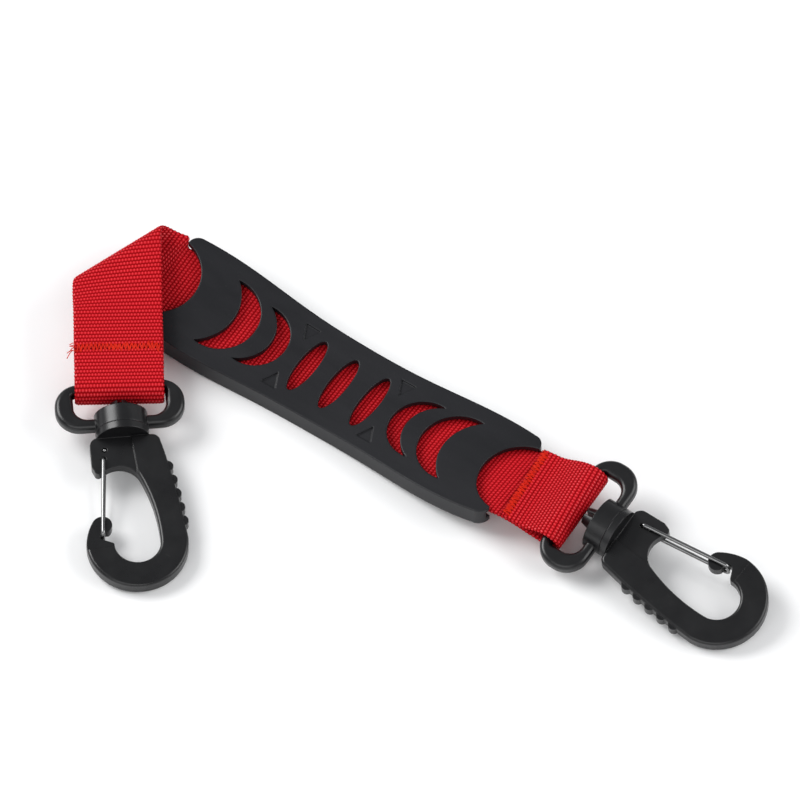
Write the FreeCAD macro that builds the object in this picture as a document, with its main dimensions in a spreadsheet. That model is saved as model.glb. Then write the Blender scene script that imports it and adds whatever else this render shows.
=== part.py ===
"""Carry strap: red webbing through a moulded grip sleeve, with a swivel snap hook sewn on at each end.

Frame: +X runs along the grip towards the right hook, +Y across it, +Z up from the table.
The origin is on the table under the middle of the grip. Millimetres throughout.
"""
import FreeCAD, Part

import math
import os

import Sketcher
from FreeCAD import Matrix, Placement, Rotation, Vector

Z_AXIS = Vector(0, 0, 1)

SIZES = {
    # webbing
    "webbing_width": 25.0,
    "webbing_thick": 1.2,
    "layer_gap": 0.05,
    # grip sleeve
    "grip_height": 6.0,
    "grip_half_length": 61.5,
    "grip_waist_half": 14.6,
    "grip_bulge_half": 16.5,
    "grip_bulge_at": 43.0,
    "grip_end_half": 15.8,
    "grip_corner_round": 3.5,
    "grip_middle_z": 4.3,
    "bow_radius": 480.0,
    "twist_middle": 4.6,
    "twist_per_mm": 0.075,
    "channel_height": 2.7,
    "channel_half_width": 13.6,
    "end_cut_depth_at": 51.0,
    "ellipse_half_length": 9.4,
    "ellipse_half_width": 2.8,
    "ellipse_pitch": 11.0,
    "outer_moon_belly_at": 29.8,
    "outer_moon_hollow_at": 37.2,
    "outer_moon_tip_at": 43.0,
    "outer_moon_half_span": 11.4,
    "inner_moon_belly_at": 19.1,
    "inner_moon_hollow_at": 24.0,
    "inner_moon_tip_at": 30.7,
    "inner_moon_half_span": 9.9,
    "mark_at": 16.7,
    "mark_half_base": 2.5,
    "mark_base_y": 11.3,
    "mark_apex_y": 6.3,
    "mark_depth": 0.5,
    # left fold and leg
    "fold_start_x": -71.0,
    "fold_start_y": 0.6,
    "fold_start_z": 10.0,
    "fold_arrival": 193.4,
    "fold_round": 3.4,
    "fold_rise_back": 0.09,
    "fold_rise_far": 0.125,
    "fold_flat_edge": 1.5,
    "left_free_x": -61.3,
    "sway_right_from_x": 50.0,
    "leg_heading": -53.3,
    "leg_bar_distance": 38.2,
    # sewn loops
    "loop_round": 3.6,
    "left_tab_length": 18.0,
    "left_stitch_from_bar": 12.0,
    "left_ring_shift": 0.4,
    "left_ring_back": 0.2,
    "right_bar_x": 79.8,
    "right_bar_y": 2.5,
    "right_tab_x": 63.6,
    "right_stitch_x": 64.6,
    "right_hinge_x": 68.0,
    "right_neck_half": 1.8,
    "stitch_length": 2.2,
    "stitch_margin": 1.0,
    "stitch_thick": 0.25,
    "stitch_clear": 0.03,
    # swivel ring
    "ring_thick": 4.2,
    "ring_half_width": 18.6,
    "ring_bar_outer_y": -20.2,
    "ring_bar_inner_y": -16.8,
    "ring_neck_inner_y": -8.7,
    "ring_neck_outer_y": -5.3,
    "ring_window_half": 13.25,
    "ring_outer_round": 7.0,
    "ring_window_round": 4.0,
    "ring_window_bar_round": 0.8,
    "ring_edge_round": 1.45,
    "boss_radius": 7.7,
    "boss_far_y": -9.7,
    "boss_near_y": -4.3,
    "bore_radius": 2.9,
    # hook
    "hook_thick": 4.5,
    "hook_web_thick": 3.2,
    "hook_edge_round": 0.9,
    "flange_radius": 7.7,
    "flange_far_y": -4.2,
    "flange_near_y": -2.0,
    "shaft_radius": 2.8,
    "head_start_y": -9.8,
    "head_end_y": -13.6,
    "head_start_radius": 3.6,
    "head_end_radius": 2.5,
    "head_slot_width": 1.3,
    "head_slot_end_y": -8.6,
    "rib_round": 1.7,
    "rib_thick": 3.2,
    "rib_first_y": 8.6,
    "rib_pitch": 4.5,
    "rib_out": 1.1,
    "pivot_near_x": -6.1,
    "pivot_near_y": 4.8,
    "pivot_far_x": -5.6,
    "pivot_far_y": 1.9,
    "pivot_hole_radius": 0.79,
    "gate_wire_radius": 0.7,
    "gate_leg_z": 2.4,
    "gate_pin_reach": 1.75,
    "gate_bar_x": -8.3,
    "gate_bar_y": 29.7,
    "gate_bend": 1.1,
    # hooks on the table
    "swivel_axis_z": 8.2,
    "right_hook_slope": 4.1,
    "right_hook_heading": 0.8,
    "right_hook_roll": 11.5,
    "left_hook_slope": 6.3,
    "left_hook_heading": -49.5,
    "left_hook_roll": 0.0,
}

# Hook outline, walked once round with the material on the left: each corner, then the radius of the
# arc that leaves it (0 for a straight line) and the side that arc bulges to (1 right, -1 left).
HOOK_OUTLINE = [
    ("block_top", -7.2, -2.2, 0, 0),
    ("flange_side", 8.2, -2.2, 2.4, 1),
    ("spine_top", 10.535, -0.352, 240.0, 1),
    ("spine_end", 15.9, 32.4, 14.6, 1),
    ("bend_bottom", 1.3, 47.0, 14.6, 1),
    ("bend_left", -13.3, 32.4, 17.0, 1),
    ("nose_flank", -10.9, 25.0, 3.2, 1),
    ("nose_top", -8.0, 23.4, 2.7, 1),
    ("nose_side", -5.4, 26.2, 2.7, 1),
    ("nose_under", -6.6, 28.3, 0, 0),
    ("notch_start", -8.3, 28.4, 1.4, -1),
    ("notch_end", -8.3, 31.0, 0, 0),
    ("lip_start", -6.1, 31.95, 1.0, 1),
    ("lip", -5.273, 33.0, 6.6, -1),
    ("throat_bottom", 1.3, 39.0, 6.6, -1),
    ("throat_side", 7.9, 32.4, 54.6, -1),
    ("throat_top", 3.7, 11.4, 6.5, -1),
    ("arch_end", -5.545, 8.266, 0, 0),
    ("block_tip", -7.3, 9.28, 1.1, 1),
    ("block_corner", -8.9, 8.9, 0, 0),
    ("block_side", -9.7, 7.0, 0, 0),
    ("block_shoulder", -9.7, 0.4, 2.7, 1),
]

# Two recesses, the same on both faces, thin the hook's block and nose for the gate's legs.
BLOCK_RECESS = [
    ("block_recess_outer", -12.0, -3.5, 0, 0),
    ("block_recess_flange", 2.2, -3.5, 0, 0),
    ("block_recess_spine", 3.2, 8.5, 0, 0),
    ("block_recess_throat", 3.2, 12.0, 0, 0),
    ("block_recess_tip", -12.0, 12.0, 0, 0),
]
NOSE_RECESS = [
    ("nose_recess_outer", -15.5, 21.5, 0, 0),
    ("nose_recess_top", -3.5, 21.5, 0, 0),
    ("nose_recess_lip", -3.5, 33.5, 0, 0),
    ("nose_recess_flank", -15.5, 34.2, 0, 0),
]

RIB_COUNT = 5


class Size:
    """A length with the spreadsheet expression that gives it."""

    def __init__(self, value, text):
        self.value = value
        self.text = text

    def __add__(self, other):
        return Size(self.value + other.value, f"{self.text} + {other.text}")

    def __sub__(self, other):
        return Size(self.value - other.value, f"{self.text} - {other.text}")

    def __neg__(self):
        return Size(-self.value, f"-({self.text})")


def size(name):
    return Size(SIZES[name], f"Sizes.{name}")


def make_sheet(doc, values):
    sheet = doc.addObject("Spreadsheet::Sheet", "Sizes")
    for row, (name, value) in enumerate(values.items(), start=1):
        sheet.set(f"A{row}", name)
        sheet.set(f"B{row}", str(value))
        sheet.setAlias(f"B{row}", name)
    doc.recompute()
    return sheet


def store_outline(outline):
    """Put an outline's numbers among the sizes and return its corners as sizes."""
    corners = []
    for name, x, y, radius, side in outline:
        SIZES[f"{name}_x"] = x
        SIZES[f"{name}_y"] = y
        if radius:
            SIZES[f"{name}_arc"] = radius
        arc = size(f"{name}_arc") if radius else None
        corners.append((size(f"{name}_x"), size(f"{name}_y"), arc, side))
    return corners


def rounded_box(half_width, low, high, low_corner, high_corner):
    """Corners of an upright box with round corners, walked with the material on the left."""
    low_right, high_right = half_width - low_corner, half_width - high_corner
    bottom, top = low + low_corner, high - high_corner
    return [
        (-low_right, low, None, 0),
        (low_right, low, low_corner, 1),
        (half_width, bottom, None, 0),
        (half_width, top, high_corner, 1),
        (high_right, high, None, 0),
        (-high_right, high, high_corner, 1),
        (-half_width, top, None, 0),
        (-half_width, bottom, low_corner, 1),
    ]


def arc_between(start, end, radius, side):
    """The short arc from start to end that bulges to the right (1) or left (-1) of the walk."""
    chord = end - start
    middle = (start + end) * 0.5
    left = Vector(-chord.y, chord.x, 0).normalize()
    centre = middle + left * side * math.sqrt(radius**2 - (chord.Length / 2) ** 2)
    first, last = (start, end) if side > 0 else (end, start)
    begin = math.atan2(first.y - centre.y, first.x - centre.x)
    finish = math.atan2(last.y - centre.y, last.x - centre.x)
    return Part.ArcOfCircle(Part.Circle(centre, Z_AXIS, radius), begin, finish)


def bind(sketch, constraint, wanted):
    index = sketch.addConstraint(constraint)
    sketch.setExpression(f"Constraints[{index}]", wanted.text)


def draw_outline(sketch, corners):
    """Draw a closed outline whose corners and radii follow the sheet."""
    points = [Vector(x.value, y.value, 0) for x, y, _, _ in corners]
    ends = []
    for number, (x, y, arc, side) in enumerate(corners):
        start, end = points[number], points[(number + 1) % len(points)]
        if arc:
            edge = sketch.addGeometry(arc_between(start, end, arc.value, side), False)
            bind(sketch, Sketcher.Constraint("Radius", edge, arc.value), arc)
        else:
            edge = sketch.addGeometry(Part.LineSegment(start, end), False)
        first, last = (1, 2) if side >= 0 else (2, 1)
        bind(sketch, Sketcher.Constraint("DistanceX", -1, 1, edge, first, x.value), x)
        bind(sketch, Sketcher.Constraint("DistanceY", -1, 1, edge, first, y.value), y)
        ends.append((edge, first, last))
    for number, (edge, first, _) in enumerate(ends):
        before, _, last = ends[number - 1]
        sketch.addConstraint(Sketcher.Constraint("Coincident", before, last, edge, first))


def draw_circle(sketch, x, y, radius):
    circle = Part.Circle(Vector(x.value, y.value, 0), Z_AXIS, radius.value)
    edge = sketch.addGeometry(circle, False)
    bind(sketch, Sketcher.Constraint("Radius", edge, radius.value), radius)
    bind(sketch, Sketcher.Constraint("DistanceX", -1, 1, edge, 3, x.value), x)
    bind(sketch, Sketcher.Constraint("DistanceY", -1, 1, edge, 3, y.value), y)


def new_sketch(body, name, level=None):
    """A sketch on the body's own XY plane, or at a level above it."""
    sketch = body.newObject("Sketcher::SketchObject", name)
    plane = [f for f in body.Origin.OriginFeatures if f.Role == "XY_Plane"][0]
    sketch.AttachmentSupport = [(plane, "")]
    sketch.MapMode = "FlatFace"
    if level:
        sketch.setExpression("AttachmentOffset.Base.z", level.text)
    return sketch


def extrude(body, kind, sketch, name, thickness):
    """A Pad or Pocket, centred on the sketch, of the named thickness."""
    feature = body.newObject(f"PartDesign::{kind}", name)
    feature.Profile = sketch
    feature.Midplane = True
    feature.setExpression("Length", f"Sizes.{thickness}")
    body.Document.recompute()
    return feature


def recess(body, name, corners):
    """Lower both faces of the hook, inside an outline, to the thickness of its web."""
    before = body.Shape.Volume
    for face, level in (("Top", size("web_level")), ("Bottom", -size("web_level"))):
        sketch = new_sketch(body, f"{name}{face}Sketch", level)
        draw_outline(sketch, corners)
        pocket = body.newObject("PartDesign::Pocket", f"{name}{face}")
        pocket.Profile = sketch
        pocket.Reversed = face == "Top"
        pocket.setExpression("Length", "Sizes.hook_thick")
        body.Document.recompute()
        if body.Shape.Volume >= before:
            raise RuntimeError(f"{pocket.Name} cut nothing")
        before = body.Shape.Volume


def revolve(body, kind, name, corners):
    """A Revolution or Groove of an outline about the body's Y axis."""
    sketch = new_sketch(body, name + "Sketch")
    draw_outline(sketch, corners)
    feature = body.newObject(f"PartDesign::{kind}", name)
    feature.Profile = sketch
    feature.ReferenceAxis = (sketch, ["V_Axis"])
    feature.Angle = 360.0
    body.Document.recompute()
    return feature


def is_inside(point, corners):
    """Whether a point is within the box round an outline."""
    xs = [x.value for x, _, _, _ in corners]
    ys = [y.value for _, y, _, _ in corners]
    return min(xs) < point.x < max(xs) and min(ys) < point.y < max(ys)


def fillet_faces(body, name, radius, height, recesses=()):
    """Round every edge that lies at plus or minus half of height and isn't in a recess."""
    level = SIZES[height] / 2
    edges = []
    for number, edge in enumerate(body.Shape.Edges, start=1):
        box = edge.BoundBox
        flat = box.ZLength < 1e-6 and abs(abs(box.ZMin) - level) < 1e-6
        if flat and not any(is_inside(box.Center, corners) for corners in recesses):
            edges.append(f"Edge{number}")
    base = body.Tip
    fillet = body.newObject("PartDesign::Fillet", name)
    fillet.Base = (base, edges)
    fillet.setExpression("Radius", f"Sizes.{radius}")
    body.Document.recompute()
    return fillet


def upright_box(x_low, x_high, y_low, y_high):
    return [
        (x_low, y_low, None, 0),
        (x_high, y_low, None, 0),
        (x_high, y_high, None, 0),
        (x_low, y_high, None, 0),
    ]


def make_ring(doc, side):
    """Moulded ring with the swivel boss; Y runs along the swivel axis, away from the webbing."""
    body = doc.addObject("PartDesign::Body", f"ring_{side}")
    outline = new_sketch(body, f"RingOutline_{side}")
    outer = size("ring_outer_round")
    draw_outline(outline, rounded_box(size("ring_half_width"), size("ring_bar_outer_y"),
                                      size("ring_neck_outer_y"), outer, outer))
    extrude(body, "Pad", outline, f"RingPlate_{side}", "ring_thick")
    window = new_sketch(body, f"RingWindow_{side}")
    draw_outline(window, rounded_box(size("ring_window_half"), size("ring_bar_inner_y"),
                                     size("ring_neck_inner_y"), size("ring_window_bar_round"),
                                     size("ring_window_round")))
    extrude(body, "Pocket", window, f"RingOpening_{side}", "ring_thick")
    fillet_faces(body, f"RingEdges_{side}", "ring_edge_round", "ring_thick")
    nothing = size("nothing")
    revolve(body, "Revolution", f"Boss_{side}",
            upright_box(nothing, size("boss_radius"), size("boss_far_y"), size("boss_near_y")))
    revolve(body, "Groove", f"BossBore_{side}",
            upright_box(nothing, size("bore_radius"), size("boss_far_y"), size("boss_near_y")))
    return body


def spine_edge_x(y):
    """Where the outer edge of the hook's spine is at a given height."""
    low_x, low_y = SIZES["spine_top_x"], SIZES["spine_top_y"]
    high_x, high_y = SIZES["spine_end_x"], SIZES["spine_end_y"]
    along = (y - low_y) / (high_y - low_y)
    chord_squared = (high_x - low_x) ** 2 + (high_y - low_y) ** 2
    bulge = chord_squared / (2 * SIZES["spine_top_arc"])
    return low_x + along * (high_x - low_x) + bulge * along * (1 - along)


def make_hook(doc, side, outline, recesses):
    """Snap hook with its swivel flange, shaft and split head; Y runs down the hook."""
    body = doc.addObject("PartDesign::Body", f"hook_{side}")
    plate = new_sketch(body, f"HookOutline_{side}")
    draw_outline(plate, outline)
    extrude(body, "Pad", plate, f"HookPlate_{side}", "hook_thick")
    fillet_faces(body, f"HookEdges_{side}", "hook_edge_round", "hook_thick", recesses)
    for number, corners in enumerate(recesses):
        recess(body, f"Recess{number}_{side}", corners)
    ribs = new_sketch(body, f"HookRibs_{side}")
    for number in range(RIB_COUNT):
        draw_circle(ribs, size(f"rib_{number}_x"), size(f"rib_{number}_y"), size("rib_round"))
    extrude(body, "Pad", ribs, f"HookRibPad_{side}", "rib_thick")
    nothing = size("nothing")
    revolve(body, "Revolution", f"Flange_{side}",
            upright_box(nothing, size("flange_radius"), size("flange_far_y"), size("flange_near_y")))
    revolve(body, "Revolution", f"Shaft_{side}",
            upright_box(nothing, size("shaft_radius"), size("head_start_y"), size("flange_far_y")))
    revolve(body, "Revolution", f"SnapHead_{side}", [
        (nothing, size("head_end_y"), None, 0),
        (size("head_end_radius"), size("head_end_y"), None, 0),
        (size("head_start_radius"), size("head_start_y"), None, 0),
        (nothing, size("head_start_y"), None, 0),
    ])
    slot = new_sketch(body, f"HeadSlot_{side}")
    draw_outline(slot, upright_box(-size("head_slot_half"), size("head_slot_half"),
                                   size("head_end_y") - size("head_slot_half"), size("head_slot_end_y")))
    extrude(body, "Pocket", slot, f"HeadSplit_{side}", "through_all")
    pivots = new_sketch(body, f"GatePivots_{side}")
    for where in ("near", "far"):
        draw_circle(pivots, size(f"pivot_{where}_x"), size(f"pivot_{where}_y"), size("pivot_hole_radius"))
    extrude(body, "Pocket", pivots, f"GateHoles_{side}", "through_all")
    return body


def rounded_route(points, radius):
    """A wire through the points with every corner rounded to the same radius."""
    edges = []
    start = points[0]
    for before, corner, after in zip(points, points[1:], points[2:]):
        back = (before - corner).normalize()
        ahead = (after - corner).normalize()
        half_turn = math.acos(max(-1.0, min(1.0, back.dot(ahead)))) / 2
        setback = radius / math.tan(half_turn)
        middle = (back + ahead).normalize() * (radius / math.sin(half_turn) - radius)
        enter, leave = corner + back * setback, corner + ahead * setback
        edges.append(Part.LineSegment(start, enter).toShape())
        edges.append(Part.Arc(enter, corner + middle, leave).toShape())
        start = leave
    edges.append(Part.LineSegment(start, points[-1]).toShape())
    return Part.Wire(edges)


def gate_shape():
    """Bent wire gate: two pins, two legs and the cross bar that shuts in the hook's notch."""
    leg_z = SIZES["gate_leg_z"]
    reach = SIZES["gate_pin_reach"]
    near = Vector(SIZES["pivot_near_x"], SIZES["pivot_near_y"], 0)
    far = Vector(SIZES["pivot_far_x"], SIZES["pivot_far_y"], 0)
    bar = Vector(SIZES["gate_bar_x"], SIZES["gate_bar_y"], 0)
    route = rounded_route([
        near + Z_AXIS * reach,
        near - Z_AXIS * leg_z,
        bar - Z_AXIS * leg_z,
        bar + Z_AXIS * leg_z,
        far + Z_AXIS * leg_z,
        far - Z_AXIS * reach,
    ], SIZES["gate_bend"])
    circle = Part.Circle(route.Vertexes[0].Point, -Z_AXIS, SIZES["gate_wire_radius"])
    profile = Part.Wire([circle.toShape()])
    return route.makePipeShell([profile], True, False)


def hermite(start, start_slope, end, end_slope, share):
    """Smooth curve from start to end; works on numbers and on vectors."""
    cube, square = share**3, share**2
    return (start * (2 * cube - 3 * square + 1) + start_slope * (cube - 2 * square + share)
            + end * (3 * square - 2 * cube) + end_slope * (cube - square))


def grip_twist(x):
    return math.radians(SIZES["twist_middle"] - SIZES["twist_per_mm"] * x)


def grip_height(x):
    return SIZES["grip_middle_z"] + x * x / (2 * SIZES["bow_radius"])


def sway_right(x):
    """Sideways shift of the webbing between the grip and the right ring, and its slope."""
    start = SIZES["sway_right_from_x"]
    span = SIZES["right_bar_x"] - start
    share = min(1.2, max(0.0, (x - start) / span))
    slope = math.tan(math.radians(SIZES["right_hook_heading"] / 2)) * span
    return hermite(0.0, 0.0, SIZES["right_bar_y"], slope, share)


def grip_section(x, half_width, low, high):
    """Rectangle across the grip at x, between two levels of its bowed and twisted frame."""
    turn = grip_twist(x)
    across = Vector(0, math.cos(turn), math.sin(turn))
    up = Vector(0, -math.sin(turn), math.cos(turn))
    middle = Vector(x, 0, grip_height(x))
    corners = [(-half_width, low), (half_width, low), (half_width, high), (-half_width, high)]
    points = [middle + across * y + up * z for y, z in corners]
    return Part.makePolygon(points + points[:1])


def grip_loft(half_width, low, high, reach):
    steps = 8
    stations = [reach * (2 * n / steps - 1) for n in range(steps + 1)]
    return Part.makeLoft([grip_section(x, half_width, low, high) for x in stations], True, False)


def prism(wire):
    """Upright prism on a flat closed wire, taller than the grip."""
    base = Part.Face(wire)
    base.translate(Vector(0, 0, -10))
    return base.extrude(Vector(0, 0, 60))


def grip_outline():
    """Plan of the sleeve: waisted long sides, round corners and a concave cut at each end."""
    end, corner = SIZES["grip_half_length"], SIZES["grip_corner_round"]
    waist, bulge = SIZES["grip_waist_half"], SIZES["grip_bulge_half"]
    bulge_at, side = SIZES["grip_bulge_at"], SIZES["grip_end_half"]
    tip = side - corner
    soft = corner * (1 - math.sqrt(0.5))
    edges = []
    for sign in (1, -1):
        curve = Part.BSplineCurve()
        share = 0.45 * bulge_at
        halfway = (waist + bulge) / 2 - 0.1
        points = [(-end + corner, side), (-bulge_at, bulge), (-share, halfway - 0.4), (0, waist),
                  (share, halfway - 0.4), (bulge_at, bulge), (end - corner, side)]
        curve.interpolate([Vector(sign * x, sign * y, 0) for x, y in points])
        edges.append(curve.toShape())
        edges.append(Part.Arc(Vector(sign * (end - corner), sign * side, 0),
                              Vector(sign * (end - soft), sign * (side - soft), 0),
                              Vector(sign * end, sign * tip, 0)).toShape())
        edges.append(Part.Arc(Vector(sign * end, sign * tip, 0),
                              Vector(sign * SIZES["end_cut_depth_at"], 0, 0),
                              Vector(sign * end, -sign * tip, 0)).toShape())
        edges.append(Part.Arc(Vector(sign * end, -sign * tip, 0),
                              Vector(sign * (end - soft), -sign * (side - soft), 0),
                              Vector(sign * (end - corner), -sign * side, 0)).toShape())
    return Part.Wire(Part.__sortEdges__(edges))


def ellipse_window(x):
    curve = Part.Ellipse(Vector(x, SIZES["ellipse_half_length"], 0),
                         Vector(x + SIZES["ellipse_half_width"], 0, 0), Vector(x, 0, 0))
    return Part.Wire([curve.toShape()])


def moon_window(name, sign):
    """Crescent whose horns point to the grip's end."""
    tip, span = sign * SIZES[f"{name}_tip_at"], SIZES[f"{name}_half_span"]
    belly, hollow = sign * SIZES[f"{name}_belly_at"], sign * SIZES[f"{name}_hollow_at"]
    upper, lower = Vector(tip, span, 0), Vector(tip, -span, 0)
    return Part.Wire([Part.Arc(upper, Vector(belly, 0, 0), lower).toShape(),
                      Part.Arc(lower, Vector(hollow, 0, 0), upper).toShape()])


def mark_outline(x, sign):
    """Triangle whose apex points to the middle of the grip."""
    base, apex = sign * SIZES["mark_base_y"], sign * SIZES["mark_apex_y"]
    half = SIZES["mark_half_base"]
    points = [Vector(x - half, base, 0), Vector(x + half, base, 0), Vector(x, apex, 0)]
    return Part.makePolygon(points + points[:1])


def grip_shape():
    """Sleeve with a through channel for the webbing, windows over it and engraved marks."""
    half = SIZES["grip_height"] / 2
    channel = SIZES["channel_height"] / 2
    reach = SIZES["grip_half_length"] + 1
    sleeve = grip_loft(SIZES["grip_bulge_half"] + 1, -half, half, reach).common(prism(grip_outline()))
    sleeve = sleeve.cut(grip_loft(SIZES["channel_half_width"], -channel, channel, reach + 1))
    above = grip_loft(SIZES["channel_half_width"], 0, half + 1, reach)
    pitch = SIZES["ellipse_pitch"]
    windows = [ellipse_window(x) for x in (-pitch, 0, pitch)]
    for sign in (1, -1):
        windows += [moon_window("outer_moon", sign), moon_window("inner_moon", sign)]
    for window in windows:
        sleeve = sleeve.cut(prism(window).common(above))
    skin = grip_loft(SIZES["channel_half_width"], half - SIZES["mark_depth"], half + 1, reach)
    for x in (-SIZES["mark_at"], SIZES["mark_at"]):
        for sign in (1, -1):
            sleeve = sleeve.cut(prism(mark_outline(x, sign)).common(skin))
    return sleeve.Solids[0]


def across(middle, side, normal, offset=0.0, half_width=None):
    """One section of webbing: its middle, the direction to its far edge and its upper normal."""
    half_width = half_width or SIZES["webbing_width"] / 2
    return (middle - side * half_width + normal * offset, middle + side * half_width + normal * offset, normal)


def ribbon(sections, thickness=None):
    """Solid strip through a row of sections."""
    half = (thickness or SIZES["webbing_thick"]) / 2
    wires = []
    for near, far, normal in sections:
        lift = normal * half
        points = [near - lift, far - lift, far + lift, near + lift]
        wires.append(Part.makePolygon(points + points[:1]))
    return Part.makeLoft(wires, True, True)


def heading(degrees, fall=0.0):
    turn, tilt = math.radians(degrees), math.radians(fall)
    return Vector(math.cos(turn) * math.cos(tilt), math.sin(turn) * math.cos(tilt), -math.sin(tilt))


class Fold:
    """The soft diagonal fold: a flat strip wrapped half round a cylinder along the fold line."""

    def __init__(self):
        back, far = SIZES["fold_rise_back"], SIZES["fold_rise_far"]
        arriving = SIZES["fold_arrival"]
        line = math.radians((arriving + 360 + SIZES["leg_heading"]) / 2 - 180)
        self.up = Vector(back, -far, 1).normalize()
        self.line = self.in_plane(Vector(math.cos(line), math.sin(line), 0))
        self.out = self.up.cross(self.line)
        self.arrive = self.in_plane(heading(arriving))
        self.round = SIZES["fold_round"]
        start = Vector(SIZES["fold_start_x"], SIZES["fold_start_y"], SIZES["fold_start_z"])
        self.axis = start + self.up * self.round

    def in_plane(self, direction):
        return (direction - self.up * direction.dot(self.up)).normalize()

    def section(self, run):
        """The strip's section along the fold line, run millimetres past the start of the bend."""
        outward = self.arrive.dot(self.out)
        slip = run * self.arrive.dot(self.line) / outward
        half = SIZES["webbing_width"] / 2 / outward
        turn = min(max(run / self.round, 0.0), math.pi)
        spoke = self.out * math.sin(turn) - self.up * math.cos(turn)
        straight = run - turn * self.round
        lead = self.out * math.cos(turn) + self.up * math.sin(turn)
        middle = self.axis + spoke * self.round + lead * straight + self.line * slip
        return (middle - self.line * half, middle + self.line * half, -spoke)

    def sections(self):
        steps = 12
        edge = SIZES["fold_flat_edge"]
        bend = math.pi * self.round
        return ([self.section(-edge)] + [self.section(bend * n / steps) for n in range(steps + 1)]
                + [self.section(bend + edge)])


def run_section(x):
    """Section of the webbing inside the grip."""
    turn = grip_twist(x)
    side = Vector(0, math.cos(turn), math.sin(turn))
    up = Vector(0, -math.sin(turn), math.cos(turn))
    middle = Vector(x, sway_right(x), grip_height(x))
    return across(middle, side, up)


def rolled(side, up, degrees):
    """Both directions turned together, the side one towards the up one."""
    turn = math.radians(degrees)
    return side * math.cos(turn) + up * math.sin(turn), up * math.cos(turn) - side * math.sin(turn)


def bar_height(end):
    """Height of a ring's webbing bar above the table."""
    slope = math.radians(SIZES[f"{end}_hook_slope"])
    return SIZES["swivel_axis_z"] - (SIZES["ring_bar_y"] - SIZES["boss_middle_y"]) * math.sin(slope)


def right_bar():
    """Centre of the right ring's webbing bar."""
    return Vector(SIZES["right_bar_x"], SIZES["right_bar_y"], bar_height("right"))


def right_share(x):
    """How far x is from the grip's end, 0, to the right ring's bar, 1."""
    start = SIZES["grip_half_length"]
    return max(0.0, (x - start) / (SIZES["right_bar_x"] - start))


def lower_level(x):
    """Level of the webbing's lower layer: on the middle line, then under the bar."""
    return hermite(0.0, 0.0, -SIZES["loop_round"], 0.0, right_share(x))


def upper_level(x):
    """Level of the folded-back layer: on the lower layer, then up over the bar."""
    start, end = SIZES["right_tab_x"], SIZES["right_bar_x"]
    step = SIZES["webbing_thick"] + SIZES["layer_gap"]
    meet = start + (end - start) * 0.3
    if x < meet:
        return lower_level(x) + step
    slope = (lower_level(meet + 0.1) - lower_level(meet)) / 0.1 * (end - meet)
    return hermite(lower_level(meet) + step, slope, SIZES["loop_round"], 0.0, (x - meet) / (end - meet))


def right_middle(level, x):
    """A point of either layer's middle line, with its directions across and up."""
    start = SIZES["grip_half_length"]
    slope = start / SIZES["bow_radius"] * (SIZES["right_bar_x"] - start)
    height = hermite(grip_height(start), slope, bar_height("right"), 0.0, right_share(x))
    drift = Vector(0.1, sway_right(x + 0.1) - sway_right(x), 0)
    across_it = Z_AXIS.cross(drift).normalize()
    side, up = rolled(across_it, Z_AXIS, SIZES["right_hook_roll"] * min(1.0, right_share(x)))
    return Vector(x, sway_right(x), height) + up * level(x), side


def right_layer(level, x):
    """Section of either layer of the right end, square to its own direction."""
    here, side = right_middle(level, x)
    ahead = (right_middle(level, x + 0.05)[0] - here).normalize()
    side = (side - ahead * side.dot(ahead)).normalize()
    return across(here, side, ahead.cross(side))


def spread(start, end, steps):
    return [start + (end - start) * n / steps for n in range(steps + 1)]


def layer_sections(level, start, end, steps):
    return [right_layer(level, x) for x in spread(start, end, steps)]


def bar_wrap(centre, forward, roll, first, last, steps):
    """Sections round a ring bar, by angle above the forward direction, in degrees."""
    side, up = rolled(Z_AXIS.cross(forward), Z_AXIS, roll)
    sections = []
    for angle in spread(math.radians(first), math.radians(last), steps):
        spoke = forward * math.cos(angle) + up * math.sin(angle)
        sections.append(across(centre + spoke * SIZES["loop_round"], side, spoke))
    return sections


def flipped(sections):
    return [(near, far, -normal) for near, far, normal in sections]


def right_loop_shape():
    """Webbing loop round the right ring's bar: out below it and back above it."""
    start = SIZES["right_hinge_x"] + SIZES["right_neck_half"]
    near_bar = SIZES["right_bar_x"] - 0.6
    forward = heading(SIZES["right_hook_heading"] / 2)
    lower = layer_sections(lower_level, start, near_bar, 5)
    upper = layer_sections(upper_level, near_bar, start, 5)
    around = flipped(bar_wrap(right_bar(), forward, SIZES["right_hook_roll"], -84, 84, 12))
    return ribbon(lower + around + flipped(upper))


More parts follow.
